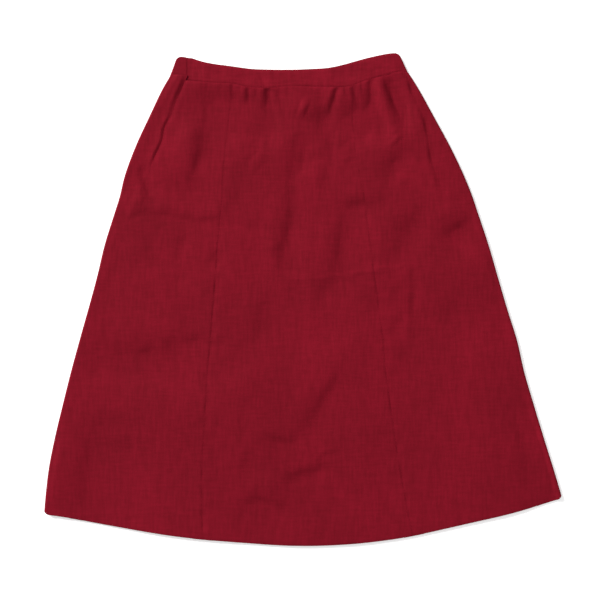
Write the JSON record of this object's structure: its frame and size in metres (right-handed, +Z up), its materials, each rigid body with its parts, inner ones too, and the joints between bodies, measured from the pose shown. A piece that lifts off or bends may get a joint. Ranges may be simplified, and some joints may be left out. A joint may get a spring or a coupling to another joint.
{
  "type": "a-line skirt",
  "caption": "A-line skirt with long front seams, side seam pockets and a hooked waistband, laid flat with its front up.",
  "frame": {"origin": "centre of the bounding box in plan, on the surface that the skirt lies on", "axes": "+X to the right as seen from above, +Y from the hem to the waist, +Z up out of the front of the skirt"},
  "size_m": [0.7758, 0.7383, 0.0071],
  "materials": {
    "wool_crepe": "matt plain-weave wool crepe, piece-dyed dark red",
    "pocket_lining": "smooth cotton lining, dyed to match",
    "nickel_steel": "nickel-plated pressed steel"
  },
  "bodies": {
    "root": {"back_panel": "wool_crepe", "centre_front": "wool_crepe", "side_front_left": "wool_crepe", "side_front_right": "wool_crepe", "waistband": "wool_crepe", "pocket_bag_left": "pocket_lining", "pocket_bag_right": "pocket_lining", "waist_hook": "nickel_steel", "waist_bar": "nickel_steel"}
  },
  "joints": []
}
